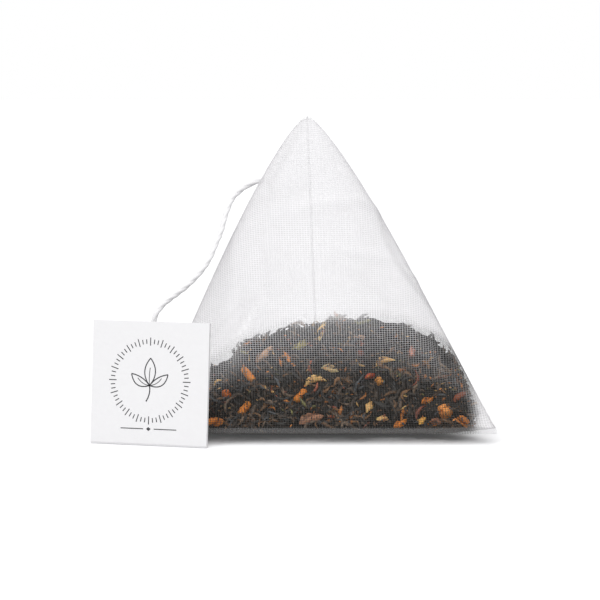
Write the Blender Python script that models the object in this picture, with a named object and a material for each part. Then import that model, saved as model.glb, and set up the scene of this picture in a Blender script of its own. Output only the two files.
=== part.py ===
"""Pyramid tea bag: a woven mesh bag of loose leaf tea, with its thread and its folded card tag.

Metres, +Z up. The bag rests on its lower face with its front seal towards -Y.
The origin is on the floor, under the middle of the bag's own box.
"""

import math
import random

import bmesh
import bpy
import numpy as np
from mathutils import Matrix, Vector
from mathutils.bvhtree import BVHTree

# Bag: a tube of woven mesh, flattened and welded at its front end, turned a quarter and welded at the other
TUBE_WIDTH = 0.062  # the tube laid flat, which is the length of each seal
TUBE_LENGTH = 0.070  # from one seal to the other
MESH_WALL = 0.0003
SEAL_FIN = 0.0018  # what stands out beyond each weld line
SEAL_THICKNESS = 0.0006  # two layers and the weld
SEAL_BAND = 0.0026  # from each weld line to the first row of gaps
FRONT_LIFT = 0.0027  # the full belly holds the front seal off the table
APEX_LEAN = 0.0022  # the top corner leans to -X
SIDE_FULLNESS = 0.586  # 1 is a flat-sided pyramid, less bulges and more hangs in
TOP_FULLNESS = 1.10  # the same for the bag's upper face
BELLY_FULLNESS = 0.78  # and for its lower one
SQUARENESS = 5.0  # of the cross-section: 2 is an ellipse, and more has sharper folds

# Weave: each bar stands for a band of threads, and is raised along its middle
GAPS_AROUND = 16
GAPS_ALONG = 7
BAR_WIDTH = 0.0016
LAP_WIDTH = 0.0040  # the tube's own lapped seam
RIDGE = 0.00022
CROSSING = 0.5  # how much more or less a crossing stands up, by turns over and under

# Tea
TEA_CLEARANCE = 0.0007
TEA_SQUARENESS = 3.4  # the leaves don't reach right into the folds
PIECE_CLEARANCE = 0.0006
PIECE_FLOOR = 0.0044  # the lowest of the larger pieces lie this high, clear of the front seal
HEAP_HEIGHT = 0.0212  # at the mesh of the front face
HEAP_CREST = 0.0030  # how far the heap runs level behind the front face
HEAP_REPOSE = 0.80  # how steeply it falls away behind that
HEAP_SHIFT = 0.09  # its crest lies to the right, by this share of the tube's width
HEAP_REACH = 0.54  # how far it runs to each side, as a share of that width
HEAP_BROW = 2.0  # the crest's outline: more is flatter on top
HEAP_SHOULDER = 0.62  # and less is steeper at its ends
HEAP_LUMP = 0.0011
HEAP_TOE = 0.0022  # the heap's low end
HEAP_STEP = 0.0027  # between the heap's modelled sections, of this many points each
UNDER_POINTS = 20
TOP_POINTS = 26
TEA_START = 0.0055  # from the front weld line
FACE_LUMP = 0.0009
LEAF_COUNT = 34
LEAF_SPREAD = (-0.40, 0.42)  # where the loose leaves lie across the heap, in widths of the tube
LEAF_DEPTHS = (0.01, 0.30)  # and how far behind its crest, in lengths of the tube
LEAF_LENGTH = 0.0040
LEAF_WIDTH = 0.0019
LEAF_THICKNESS = 0.0007
POCKET_CLEARANCE = 0.0003

# Thread
THREAD_DIAMETER = 0.00095
THREAD_STEP = 0.0022

# Tag: one card strip folded at its lower edge, its two leaves glued round the end of the thread
TAG_WIDTH = 0.0217
TAG_HEIGHT = 0.0217
CARD = 0.00035
TAG_YAW = math.radians(-18)
TAG_RECLINE = math.radians(5)
TAG_FOOT = Vector((-0.0300, -0.0377, 0))  # the middle of its lower back edge
THREAD_CLEARANCE = 0.0003
SLOT_DEPTH = 0.0100
SLOT_HALF_WIDTH = 0.0042
SWELL_REACH = 1.15  # how far to each side the back leaf swells round the thread, in half widths of the slot
SWELL_RAMP = 0.3  # and how far below the slot, in depths of it

FRONT = Vector((0, -TUBE_LENGTH / 2, 0))  # the middle of the front seal, before the lift
SPINE = math.sqrt(TUBE_LENGTH**2 - (TUBE_WIDTH / 2) ** 2)  # between the middles of the two seals
ALONG = Vector((0, SPINE / TUBE_LENGTH, TUBE_WIDTH / 2 / TUBE_LENGTH))
ACROSS = Vector((0, -ALONG.z, ALONG.y))
APEX_HEIGHT = SPINE * ALONG.z + TUBE_WIDTH / 2 * ACROSS.z


def clear_scene():
    for old in list(bpy.data.objects):
        bpy.data.objects.remove(old, do_unlink=True)


def finish(name, color, roughness):
    """A plain material with this colour."""
    material = bpy.data.materials.new(name)
    material.use_nodes = True
    shader = material.node_tree.nodes["Principled BSDF"]
    shader.inputs["Base Color"].default_value = (*color, 1)
    shader.inputs["Roughness"].default_value = roughness
    shader.inputs["Metallic"].default_value = 0
    return material


def add_object(name, mesh, material=None):
    made = bpy.data.objects.new(name, mesh)
    bpy.context.scene.collection.objects.link(made)
    if material:
        mesh.materials.append(material)
    else:
        made.hide_render = True
        made.display_type = "WIRE"
    return made


def mesh_from(name, points, faces):
    """A mesh of these points and faces, with its faces turned outwards."""
    mesh = bpy.data.meshes.new(name)
    mesh.from_pydata([tuple(point) for point in points], [], faces)
    shape = bmesh.new()
    shape.from_mesh(mesh)
    bmesh.ops.recalc_face_normals(shape, faces=shape.faces)
    shape.to_mesh(mesh)
    shape.free()
    return mesh


# The bag's surface


def quarter(half_width, half_height, shares, squareness):
    """Points at these shares of the length of a squared ellipse's quarter, from its side to its top."""
    angle = np.linspace(0, math.pi / 2, 80)
    x = half_width * np.cos(angle).clip(0) ** (2 / squareness)
    y = half_height * np.sin(angle).clip(0) ** (2 / squareness)
    run = np.concatenate([[0], np.cumsum(np.hypot(np.diff(x), np.diff(y)))])
    return np.interp(shares * run[-1], run, x), np.interp(shares * run[-1], run, y)


def bag_ring(along, around, inset=0.0, squareness=SQUARENESS):
    """Points round the bag at this distance from the front weld line.

    around counts quarters of the tube: 0 is the lapped seam on the right, 1 the middle of the front face,
    2 the left side and 3 the underside. Each quarter is half the tube's flat width of mesh.
    """
    share = min(max(along / TUBE_LENGTH, 0), 1)
    thin = SEAL_THICKNESS / 2
    half_width = max(TUBE_WIDTH / 2 * (1 - share) ** SIDE_FULLNESS, thin) - inset
    half_height = max(TUBE_WIDTH / 2 * share**TOP_FULLNESS, thin) - inset
    half_belly = max(TUBE_WIDTH / 2 * share**BELLY_FULLNESS, thin) - inset
    if along >= TUBE_LENGTH:
        half_belly = half_height
    turn = np.asarray(around, float) % 4
    number = np.floor(turn).astype(int)
    part = turn - number
    shares = np.where(number % 2 == 0, part, 1 - part)
    above_x, above_z = quarter(half_width, half_height, shares, squareness)
    below_x, below_z = quarter(half_width, half_belly, shares, squareness)
    upper = number < 2
    x = np.where(upper, above_x, below_x) * np.where((number == 0) | (number == 3), 1, -1)
    z = np.where(upper, above_z, -below_z)
    beyond = min(along, 0) + max(along - TUBE_LENGTH, 0)
    centre = FRONT + ALONG * (share * SPINE + beyond)
    points = np.array(centre) + np.outer(x, (1, 0, 0)) + np.outer(z, ACROSS)
    points[:, 2] += FRONT_LIFT * (1 - (points[:, 1] - FRONT.y) / TUBE_LENGTH)
    points[:, 0] -= APEX_LEAN * points[:, 2] / APEX_HEIGHT
    points[:, 2] = points[:, 2].clip(max(inset, 0))
    return points


# Where the weave's lines run, in quarters round the tube and in metres along it
GAP_PITCH_AROUND = 4 / GAPS_AROUND
GAP_PITCH_ALONG = (TUBE_LENGTH - 2 * SEAL_BAND) / GAPS_ALONG


def half_bar(column):
    """Half of this bar's width in quarters. The bar at 0 is the lapped seam."""
    return (LAP_WIDTH if column % GAPS_AROUND == 0 else BAR_WIDTH) / TUBE_WIDTH


def gap_edges_around(column):
    start = column * GAP_PITCH_AROUND + half_bar(column)
    end = (column + 1) * GAP_PITCH_AROUND - half_bar(column + 1)
    return [start, (start + end) / 2, end]


def gap_edges_along(row):
    start = SEAL_BAND + row * GAP_PITCH_ALONG + BAR_WIDTH / 2
    end = start + GAP_PITCH_ALONG - BAR_WIDTH
    return [start, (start + end) / 2, end]


def inner_lines():
    """Lines of the bag's inner surface, round it and along it."""
    around = [line for column in range(GAPS_AROUND) for line in gap_edges_around(column)]
    start = SEAL_BAND - BAR_WIDTH / 2
    along = [start]
    for row in range(GAPS_ALONG):
        along += gap_edges_along(row)
    return around, along + [TUBE_LENGTH - start]


def outer_lines():
    """Lines of the outer surface: the same, the middles of the bars, and the seals."""
    around = []
    for column in range(GAPS_AROUND):
        around += [column * GAP_PITCH_AROUND] + gap_edges_around(column)
    along = [-SEAL_FIN, 0, SEAL_BAND]
    for row in range(GAPS_ALONG):
        along += gap_edges_along(row) + [SEAL_BAND + (row + 1) * GAP_PITCH_ALONG]
    return around, along + [TUBE_LENGTH, TUBE_LENGTH + SEAL_FIN]


def ridge_heights(along_index, count_around):
    """How far each point of a line round the bag stands up, as shares of the ridge."""
    on_bar = along_index >= 2 and (along_index - 2) % 4 == 0
    heights = np.zeros(count_around)
    last = 2 + 4 * GAPS_ALONG
    if along_index < 2 or along_index > last:
        return heights
    for column in range(GAPS_AROUND):
        row = (along_index - 2) // 4
        over = 1 if (row + column) % 2 == 0 else -1
        heights[4 * column] = 1 + CROSSING * over if on_bar else 1
        if on_bar:
            heights[4 * column + 1 : 4 * column + 4] = (0.7, 1, 0.7)
    return heights


def make_mesh_bag():
    """One closed wall: ridged bars outside, a smooth inside, and gaps right through between the bars."""
    outer_around, outer_along = outer_lines()
    inner_around, inner_along = inner_lines()
    points = []
    for index, along in enumerate(outer_along):
        flat = bag_ring(along, outer_around)
        raised = bag_ring(along, outer_around, -RIDGE)
        line = flat + ridge_heights(index, len(outer_around))[:, None] * (raised - flat)
        line[:, 2] = line[:, 2].clip(0)
        points.append(line)
    for along in inner_along:
        points.append(bag_ring(along, inner_around, MESH_WALL))
    n_outer, n_inner = len(outer_around), len(inner_around)
    inner_start = n_outer * len(outer_along)

    def outer(row, column):
        return row * n_outer + column % n_outer

    def inner(row, column):
        return inner_start + row * n_inner + column % n_inner

    faces = []
    for row in range(len(outer_along) - 1):
        gap_row = 3 <= row < 3 + 4 * GAPS_ALONG and (row - 3) % 4 in (0, 1)
        for column in range(n_outer):
            if gap_row and column % 4 in (1, 2):
                continue
            corners = ((row, column), (row, column + 1), (row + 1, column + 1), (row + 1, column))
            faces.append([outer(*corner) for corner in corners])
    for row in range(len(inner_along) - 1):
        gap_row = (row - 1) % 3 in (0, 1)
        for column in range(n_inner):
            if gap_row and column % 3 in (0, 1):
                continue
            corners = ((row, column), (row, column + 1), (row + 1, column + 1), (row + 1, column))
            faces.append([inner(*corner) for corner in corners])
    for gap_row in range(GAPS_ALONG):
        for gap_column in range(GAPS_AROUND):
            rim = [(0, 0), (0, 1), (0, 2), (1, 2), (2, 2), (2, 1), (2, 0), (1, 0)]
            outside = [outer(3 + 4 * gap_row + r, 4 * gap_column + 1 + c) for r, c in rim]
            inside = [inner(1 + 3 * gap_row + r, 3 * gap_column + c) for r, c in rim]
            for i, j in zip(range(8), (1, 2, 3, 4, 5, 6, 7, 0)):
                faces.append([outside[i], outside[j], inside[j], inside[i]])
    faces.append([outer(0, column) for column in range(n_outer)])
    faces.append([outer(len(outer_along) - 1, column) for column in range(n_outer)])
    faces.append([inner(0, column) for column in range(n_inner)])
    faces.append([inner(len(inner_along) - 1, column) for column in range(n_inner)])
    mesh = mesh_from("mesh_bag", np.concatenate(points), faces)
    add_object("mesh_bag", mesh, finish("woven mesh", (0.84, 0.84, 0.86), 0.45))


# The tea


FRONT_FACE = np.array([bag_ring(along, [1])[0] for along in np.linspace(0, TUBE_LENGTH, 40)])


def front_face_y(z):
    """Where the middle of the bag's front face lies at this height."""
    return np.interp(z, FRONT_FACE[:, 2], FRONT_FACE[:, 1])


def heap_height(x, y):
    """The top of the heap, which is banked against the front face and falls away behind it."""
    across = min(abs(x / TUBE_WIDTH - HEAP_SHIFT) / HEAP_REACH, 1)
    crest = HEAP_HEIGHT * (1 - across**HEAP_BROW) ** HEAP_SHOULDER
    behind = y - front_face_y(crest) - HEAP_CREST
    return crest - HEAP_REPOSE * max(behind, 0)


def tea_section(along, seeds):
    """The tea's outline in one ring of the bag: along the underside, then back across the top of the heap.

    Returns None where the heap has ended.
    """
    inset = MESH_WALL + TEA_CLEARANCE
    turns = np.linspace(2, 4, 121)
    floor = bag_ring(along, turns, inset, TEA_SQUARENESS)
    roof = bag_ring(along, 4 - turns, inset, TEA_SQUARENESS)
    covered = floor[:, 2] < [heap_height(x, y) for x, y, _ in floor]
    if not covered[60]:
        return None
    left = 60 - int(np.argmin(covered[60::-1])) + 1 if not covered[:60].all() else 0
    right = 60 + int(np.argmin(covered[60:])) - 1 if not covered[60:].all() else 120
    under_turns = np.linspace(turns[left], turns[right], UNDER_POINTS)
    outside = bag_ring(along, under_turns, inset, TEA_SQUARENESS)
    inside = bag_ring(along, under_turns, inset + FACE_LUMP, TEA_SQUARENESS)
    sunk = np.array([seeds.uniform(0, 1) for _ in under_turns])
    sunk *= np.sin(np.linspace(0, math.pi, UNDER_POINTS)) ** 2
    sunk[outside[:, 2] < 2 * HEAP_TOE] = 0
    under = outside + sunk[:, None] * (inside - outside)
    over = []
    for number in range(TOP_POINTS, 0, -1):
        share = (1 - math.cos(math.pi * number / (TOP_POINTS + 1))) / 2
        x = (1 - share) * outside[0][0] + share * outside[-1][0]
        low = np.array([np.interp(x, floor[:, 0], floor[:, axis]) for axis in range(3)])
        high = np.array([np.interp(x, roof[:, 0], roof[:, axis]) for axis in range(3)])
        steps = low + np.linspace(0, 1, 60)[:, None] * (high - low)
        filled = [point for point in steps if point[2] <= heap_height(point[0], point[1])]
        sink = seeds.uniform(0, FACE_LUMP if len(filled) == len(steps) else 2 * HEAP_LUMP)
        room = np.linalg.norm(high - low)
        depth = room * len(filled) / len(steps) - sink
        over.append(low + (high - low) * min(max(depth, HEAP_TOE / 2), 0.96 * room) / room)
    crown = max(over, key=lambda point: point[2])
    if heap_height(crown[0], crown[1]) < 3 * HEAP_TOE:
        return None
    return np.concatenate([under, over])


def end_faces(ring):
    """Triangles that close a section, from its lower line across to its upper one."""
    lower = list(range(UNDER_POINTS))
    upper = [0] + list(range(UNDER_POINTS + TOP_POINTS - 1, UNDER_POINTS - 1, -1)) + [UNDER_POINTS - 1]
    faces = []
    i = j = 0
    while i < len(lower) - 1 or j < len(upper) - 1:
        lower_next = ring[lower[i + 1]][0] if i < len(lower) - 1 else math.inf
        upper_next = ring[upper[j + 1]][0] if j < len(upper) - 1 else math.inf
        if lower_next <= upper_next:
            face = [lower[i], lower[i + 1], upper[j]]
            i += 1
        else:
            face = [lower[i], upper[j + 1], upper[j]]
            j += 1
        if len(set(face)) == 3:
            faces.append(face)
    return faces


def make_heap(seeds):
    """The body of the tea, ring by ring along the bag."""
    rings = []
    along = TEA_START
    ring = tea_section(along, seeds)
    while ring is not None:
        rings.append(ring)
        along += HEAP_STEP
        ring = tea_section(along, seeds)
    count = len(rings[0])
    faces = []
    for row in (0, len(rings) - 1):
        faces += [[row * count + corner for corner in face] for face in end_faces(rings[row])]
    for row in range(len(rings) - 1):
        for i in range(count):
            j = (i + 1) % count
            faces.append([row * count + i, row * count + j, (row + 1) * count + j, (row + 1) * count + i])
    return mesh_from("tea_fill", np.concatenate(rings), faces)


def leaf_shape(length, width, thickness, bend):
    """A broken leaf: a bent, tapered flake."""
    points, faces = [], []
    stations = 4
    for station in range(stations):
        share = station / (stations - 1)
        half = width / 2 * (0.35 + 0.65 * math.sin(math.pi * (0.15 + 0.7 * share)))
        angle = bend * (share - 0.5)
        x = length * (share - 0.5)
        lift = length * abs(angle) * 0.25
        low, high = lift - thickness / 2, lift + thickness / 2
        points += [(x, -half, low), (x, half, low), (x, half / 2, high), (x, -half / 2, high)]
    for base in range(0, 4 * (stations - 1), 4):
        for corner in range(4):
            following = (corner + 1) % 4
            faces.append([base + corner, base + following, base + 4 + following, base + 4 + corner])
    last = 4 * (stations - 1)
    faces += [[0, 1, 2, 3], [last, last + 1, last + 2, last + 3]]
    return points, faces


def make_loose_leaves(seeds, heap):
    """Broken leaves lying about on the heap's top, part buried, as one hidden guide."""
    points, faces = [], []
    corners = [vertex.co for vertex in heap.vertices]
    surface = BVHTree.FromPolygons(corners, [face.vertices for face in heap.polygons])
    for _ in range(LEAF_COUNT):
        x = seeds.uniform(*LEAF_SPREAD) * TUBE_WIDTH
        crest_y = front_face_y(heap_height(x, FRONT.y)) + HEAP_CREST
        y = crest_y + seeds.uniform(*LEAF_DEPTHS) * TUBE_LENGTH
        found = surface.ray_cast(Vector((x, y, 2 * HEAP_HEIGHT)), Vector((0, 0, -1)))[0]
        if found is None or found.z < 1.5 * HEAP_TOE:
            continue
        share = min(max((found - FRONT).dot(ALONG) / SPINE, 0), 1)
        if abs(found.x) > TUBE_WIDTH / 2 * (1 - share) ** SIDE_FULLNESS - LEAF_LENGTH:
            continue
        shape, sides = leaf_shape(
            LEAF_LENGTH * seeds.uniform(0.6, 1.2), LEAF_WIDTH, LEAF_THICKNESS, seeds.uniform(-1, 1)
        )
        turn = Matrix.Rotation(seeds.uniform(0, math.tau), 4, "Z")
        tip = Matrix.Rotation(seeds.uniform(-0.6, 0.6), 4, "Y")
        place = Matrix.Translation(found - Vector((0, 0, LEAF_THICKNESS / 4))) @ turn @ tip
        base = len(points)
        points += [tuple(place @ Vector(point)) for point in shape]
        faces += [[base + corner for corner in face] for face in sides]
    return add_object("loose_leaves", mesh_from("loose_leaves", points, faces))


def front_seat(across, up, depth):
    """A frame on the bag's front face, for a piece that lies behind the mesh.

    across is a share of half the tube's width, and up runs from 0 at the lowest pieces to 1 at the top of the
    heap; depth is measured in from the outside of the mesh. The frame's x runs level along the face and its z
    points out of it.
    """
    target = (across * TUBE_WIDTH / 2, PIECE_FLOOR + up * (HEAP_HEIGHT - PIECE_FLOOR))
    around = np.linspace(0.15, 1.85, 120)
    alongs = np.linspace(0.02, 0.62, 90) * TUBE_LENGTH
    grid = np.array([bag_ring(along, around) for along in alongs])
    miss = (grid[:, :, 0] - target[0]) ** 2 + (grid[:, :, 2] - target[1]) ** 2
    row, column = np.unravel_index(miss[1:-1, 1:-1].argmin(), miss[1:-1, 1:-1].shape)
    row, column = row + 1, column + 1
    level = Vector(grid[row, column - 1] - grid[row, column + 1])
    rise = Vector(grid[row + 1, column] - grid[row - 1, column])
    outward = level.cross(rise).normalized()
    sideways = Vector((0, 0, 1)).cross(outward).normalized()
    frame = Matrix((sideways, outward.cross(sideways), outward)).transposed().to_4x4()
    return Matrix.Translation(Vector(grid[row, column]) - depth * outward) @ frame


def rod_shape(length, radius, curl, swell, grow=0.0):
    """A stalk or a rolled leaf: a rod on an arc, tapered by swell towards its ends."""
    stations, sides = 5, 5
    points, faces = [], []
    reach = length / 2 + grow
    for station in range(stations):
        place = 2 * station / (stations - 1) - 1
        thick = radius * (1 - swell * place**2) + grow
        if abs(curl) > 0.01:
            arc = curl / 2 * place * reach / (length / 2)
            bow = length / curl
            centre = Vector((bow * math.sin(arc), bow * (math.cos(arc) - 1), 0))
            out = Vector((math.sin(arc), math.cos(arc), 0))
        else:
            centre = Vector((place * reach, 0, 0))
            out = Vector((0, 1, 0))
        for side in range(sides):
            angle = math.tau * side / sides
            points.append(centre + out * thick * math.cos(angle) + Vector((0, 0, thick * math.sin(angle))))
    for station in range(stations - 1):
        for side in range(sides):
            base, following = station * sides, (side + 1) % sides
            faces.append([base + side, base + following, base + sides + following, base + sides + side])
    faces.append(list(range(sides)))
    faces.append(list(range((stations - 1) * sides, stations * sides)))
    return points, faces


# Colours of the tea's larger pieces
STALK_ORANGE = (0.62, 0.27, 0.07)
GOLDEN = (0.66, 0.42, 0.16)
RED_BROWN = (0.30, 0.09, 0.04)
PALE_BROWN = (0.38, 0.26, 0.18)
BLACK_LEAF = (0.035, 0.030, 0.028)

# Each piece: name, share across, share up, length, radius, curl in degrees, taper, turn in degrees, colour
PIECES = (
    ("stalk_long", -0.41, 0.46, 0.0032, 0.00055, 5, 0.1, -52, STALK_ORANGE),
    ("stalk_left", -0.44, 0.13, 0.0026, 0.00060, 40, 0.3, 60, STALK_ORANGE),
    ("stalk_low_left", -0.60, 0.00, 0.0030, 0.00060, 70, 0.3, 10, STALK_ORANGE),
    ("stalk_middle", -0.12, 0.24, 0.0026, 0.00055, 20, 0.2, 55, STALK_ORANGE),
    ("stalk_low_right", 0.46, 0.00, 0.0026, 0.00055, 30, 0.2, 35, STALK_ORANGE),
    ("stalk_right", 0.62, 0.21, 0.0024, 0.00055, 10, 0.2, 30, STALK_ORANGE),
    ("stalk_pink", 0.53, 0.68, 0.0022, 0.00045, 5, 0.1, 80, PALE_BROWN),
    ("stalk_edge", 0.87, 0.04, 0.0022, 0.00055, 30, 0.3, -30, STALK_ORANGE),
    ("golden_tip_long", -0.03, 0.41, 0.0042, 0.00060, 120, 0.6, 15, GOLDEN),
    ("golden_tip_upper", 0.06, 0.51, 0.0030, 0.00055, 60, 0.6, -15, GOLDEN),
    ("golden_tip_top", 0.01, 0.90, 0.0046, 0.00060, 40, 0.7, 70, GOLDEN),
    ("golden_tip_arc", 0.37, 0.60, 0.0038, 0.00050, 110, 0.5, 20, GOLDEN),
    ("golden_tip_right", 0.28, 0.15, 0.0026, 0.00055, 50, 0.6, 60, GOLDEN),
    ("golden_tip_low", 0.36, 0.02, 0.0020, 0.00045, 40, 0.5, 0, GOLDEN),
    ("golden_tip_small", 0.58, 0.00, 0.0018, 0.00045, 40, 0.5, 50, GOLDEN),
    ("rolled_leaf_green", -0.12, 0.74, 0.0036, 0.00060, 30, 0.5, 35, (0.36, 0.33, 0.13)),
    ("rolled_leaf_brown", -0.32, 0.67, 0.0044, 0.00070, 30, 0.5, 45, PALE_BROWN),
    ("rolled_leaf_pink", -0.06, 0.04, 0.0042, 0.00075, 60, 0.5, 20, PALE_BROWN),
    ("rolled_leaf_tan", 0.23, 0.82, 0.0022, 0.00050, 20, 0.4, 10, PALE_BROWN),
    ("red_bud", -0.54, 0.27, 0.0030, 0.00085, 60, 0.6, -20, RED_BROWN),
    ("red_tip", 0.29, 0.43, 0.0020, 0.00050, 10, 0.5, 30, RED_BROWN),
    ("orange_bud", 0.35, 0.39, 0.0026, 0.00070, 50, 0.6, -35, STALK_ORANGE),
    ("orange_rosette", 0.71, 0.12, 0.0032, 0.00100, 90, 0.6, 10, STALK_ORANGE),
    ("red_leaf", 0.85, 0.24, 0.0030, 0.00070, 30, 0.5, 40, RED_BROWN),
    ("red_leaf_low", 0.66, 0.00, 0.0024, 0.00050, 20, 0.5, 5, RED_BROWN),
    ("black_leaf_left", -0.26, 0.03, 0.0036, 0.00070, 60, 0.6, -30, BLACK_LEAF),
    ("black_leaf_middle", 0.11, 0.18, 0.0042, 0.00070, 40, 0.6, 65, BLACK_LEAF),
    ("black_leaf_right", 0.50, 0.39, 0.0040, 0.00070, 50, 0.6, -40, BLACK_LEAF),
    ("black_leaf_low", 0.20, 0.00, 0.0036, 0.00060, 30, 0.6, 0, BLACK_LEAF),
    ("black_leaf_top", -0.24, 0.29, 0.0038, 0.00065, 70, 0.6, 80, BLACK_LEAF),
)


def make_piece(name, across, up, length, radius, curl, taper, turn, color):
    """One larger piece of the tea, lying against the inside of the front face, and the pocket it needs."""
    place = front_seat(across, up, MESH_WALL + PIECE_CLEARANCE + radius)
    place = place @ Matrix.Rotation(math.radians(turn), 4, "Z")
    points, faces = rod_shape(length, radius, math.radians(curl), taper)
    mesh = mesh_from(name, [place @ point for point in points], faces)
    add_object(name, mesh, finish(name.replace("_", " "), color, 0.6))
    points, faces = rod_shape(length, radius, math.radians(curl), taper, POCKET_CLEARANCE)
    pocket = mesh_from("pocket", [place @ point for point in points], faces)
    return add_object("pocket_for_" + name, pocket)


def make_tea():
    seeds = random.Random(11)
    body = make_heap(seeds)
    heap = add_object("tea_fill", body, finish("black tea", BLACK_LEAF, 0.7))
    loose = make_loose_leaves(seeds, body)
    pockets = bpy.data.collections.new("pockets")
    bpy.context.scene.collection.children.link(pockets)
    for piece in PIECES:
        pocket = make_piece(*piece)
        bpy.context.scene.collection.objects.unlink(pocket)
        pockets.objects.link(pocket)
    join = heap.modifiers.new("loose leaves", "BOOLEAN")
    join.operation = "UNION"
    join.object = loose
    join.use_self = True
    cut = heap.modifiers.new("room for the larger pieces", "BOOLEAN")
    cut.operation = "DIFFERENCE"
    cut.operand_type = "COLLECTION"
    cut.collection = pockets


# The tag


def thread_swell(x, z):
    """How far the tag's back leaf stands off the front one, round the thread's end."""
    room = THREAD_DIAMETER + 2 * THREAD_CLEARANCE
    sideways = math.cos(math.pi / 2 * min(abs(x) / (SLOT_HALF_WIDTH * SWELL_REACH), 1)) ** 2
    below = (TAG_HEIGHT - SLOT_DEPTH - z) / (SLOT_DEPTH * SWELL_RAMP)
    return room * sideways * (1 - min(max(below, 0), 1)) ** 2


def card_sheet(xs, zs, front, back):
    """A closed slab between two surfaces given as functions of x and z."""
    points = [(x, front(x, z), z) for z in zs for x in xs] + [(x, back(x, z), z) for z in zs for x in xs]
    wide, high = len(xs), len(zs)
    count = wide * high
    faces = []
    for row in range(high - 1):
        for column in range(wide - 1):
            corner = row * wide + column
            face = [corner, corner + 1, corner + wide + 1, corner + wide]
            faces += [face, [count + point for point in face]]
    edge = list(range(wide)) + [row * wide + wide - 1 for row in range(1, high)]
    edge += list(range(count - 2, count - wide - 1, -1)) + [row * wide for row in range(high - 2, 0, -1)]
    for i, here in enumerate(edge):
        following = edge[(i + 1) % len(edge)]
        faces.append([here, following, count + following, count + here])
    return points, faces


def tag_place():
    turn = Matrix.Rotation(TAG_YAW, 4, "Z") @ Matrix.Rotation(-TAG_RECLINE, 4, "X")
    return Matrix.Translation(TAG_FOOT) @ turn


def make_tag():
    """Two leaves of card, one piece: folded at the foot, glued at the sides, and open round the thread."""
    half = TAG_WIDTH / 2
    fold = CARD  # the fold's rounding at the foot
    xs = [-half] + [SLOT_HALF_WIDTH * share / 3 for share in range(-4, 5)] + [half]
    zs = [0, fold, TAG_HEIGHT * 0.4] + [TAG_HEIGHT - SLOT_DEPTH * (1 - share / 3) for share in range(4)]

    def front(x, z):
        return -2 * CARD + (0.35 * CARD if z == 0 else 0)

    def back(x, z):
        return thread_swell(x, z)

    points, faces = card_sheet(xs, zs, front, back)
    place = tag_place()
    mesh = mesh_from("tag", [place @ Vector(point) for point in points], faces)
    tag = add_object("tag", mesh, finish("white card", (0.90, 0.90, 0.92), 0.6))

    slot_xs = [SLOT_HALF_WIDTH * share / 3 for share in range(-3, 4)]
    slot_zs = [TAG_HEIGHT - SLOT_DEPTH * (1 - share / 3) for share in range(5)]
    points, faces = card_sheet(
        slot_xs, slot_zs, lambda x, z: -CARD, lambda x, z: thread_swell(x, z) - CARD
    )
    cutter = mesh_from("slot_in_tag", [place @ Vector(point) for point in points], faces)
    slot = add_object("slot_in_tag", cutter)
    opening = tag.modifiers.new("slot", "BOOLEAN")
    opening.operation = "DIFFERENCE"
    opening.object = slot


# The thread

# Its route, chosen by hand: from its weld on the bag's left fold, out and down in front of it into the tag
THREAD_ROUTE = (
    (-0.0118, 0.0024, 0.0443),
    (-0.0130, 0.0024, 0.0438),
    (-0.0144, 0.0017, 0.0430),
    (-0.0160, -0.0002, 0.0416),
    (-0.0168, -0.0025, 0.0401),
    (-0.0175, -0.0055, 0.0381),
    (-0.0181, -0.0090, 0.0358),
    (-0.0190, -0.0130, 0.0336),
    (-0.0200, -0.0168, 0.0313),
    (-0.0214, -0.0205, 0.0293),
    (-0.0237, -0.0250, 0.0271),
    (-0.0259, -0.0292, 0.0256),
    (-0.0274, -0.0322, 0.0246),
    (-0.0284, -0.0340, 0.0236),
    (-0.0290, -0.03515, 0.02255),
    (-0.0293, -0.03554, 0.02108),
    (-0.0294, -0.03589, 0.0169),
    (-0.0295, -0.03625, 0.0125),
)


def smooth_route(route, step):
    """Points about this far apart on a smooth curve through the route's own points."""
    ends = [Vector(point) for point in route]
    ends = [2 * ends[0] - ends[1]] + ends + [2 * ends[-1] - ends[-2]]
    points = []
    for before, here, there, after in zip(ends, ends[1:], ends[2:], ends[3:]):
        pieces = max(1, round((there - here).length / step))
        for i in range(pieces):
            t = i / pieces
            curve = 2 * here + (there - before) * t + (2 * before - 5 * here + 4 * there - after) * t**2
            points.append((curve + (3 * here - before - 3 * there + after) * t**3) / 2)
    return points + [Vector(route[-1])]


def make_thread():
    points = smooth_route(THREAD_ROUTE, THREAD_STEP)
    curve = bpy.data.curves.new("thread", "CURVE")
    curve.dimensions = "3D"
    spline = curve.splines.new("POLY")
    spline.points.add(len(points) - 1)
    for place, point in zip(spline.points, points):
        place.co = (*point, 1)
    curve.bevel_depth = THREAD_DIAMETER / 2
    curve.bevel_resolution = 2
    curve.use_fill_caps = True
    add_object("thread", curve, finish("white thread", (0.88, 0.87, 0.88), 0.8))


clear_scene()
make_mesh_bag()
make_tea()
make_tag()
make_thread()
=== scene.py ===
import math

import bpy
import numpy as np
from mathutils import Matrix, Vector
from mathutils.bvhtree import BVHTree
from mathutils.kdtree import KDTree


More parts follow.
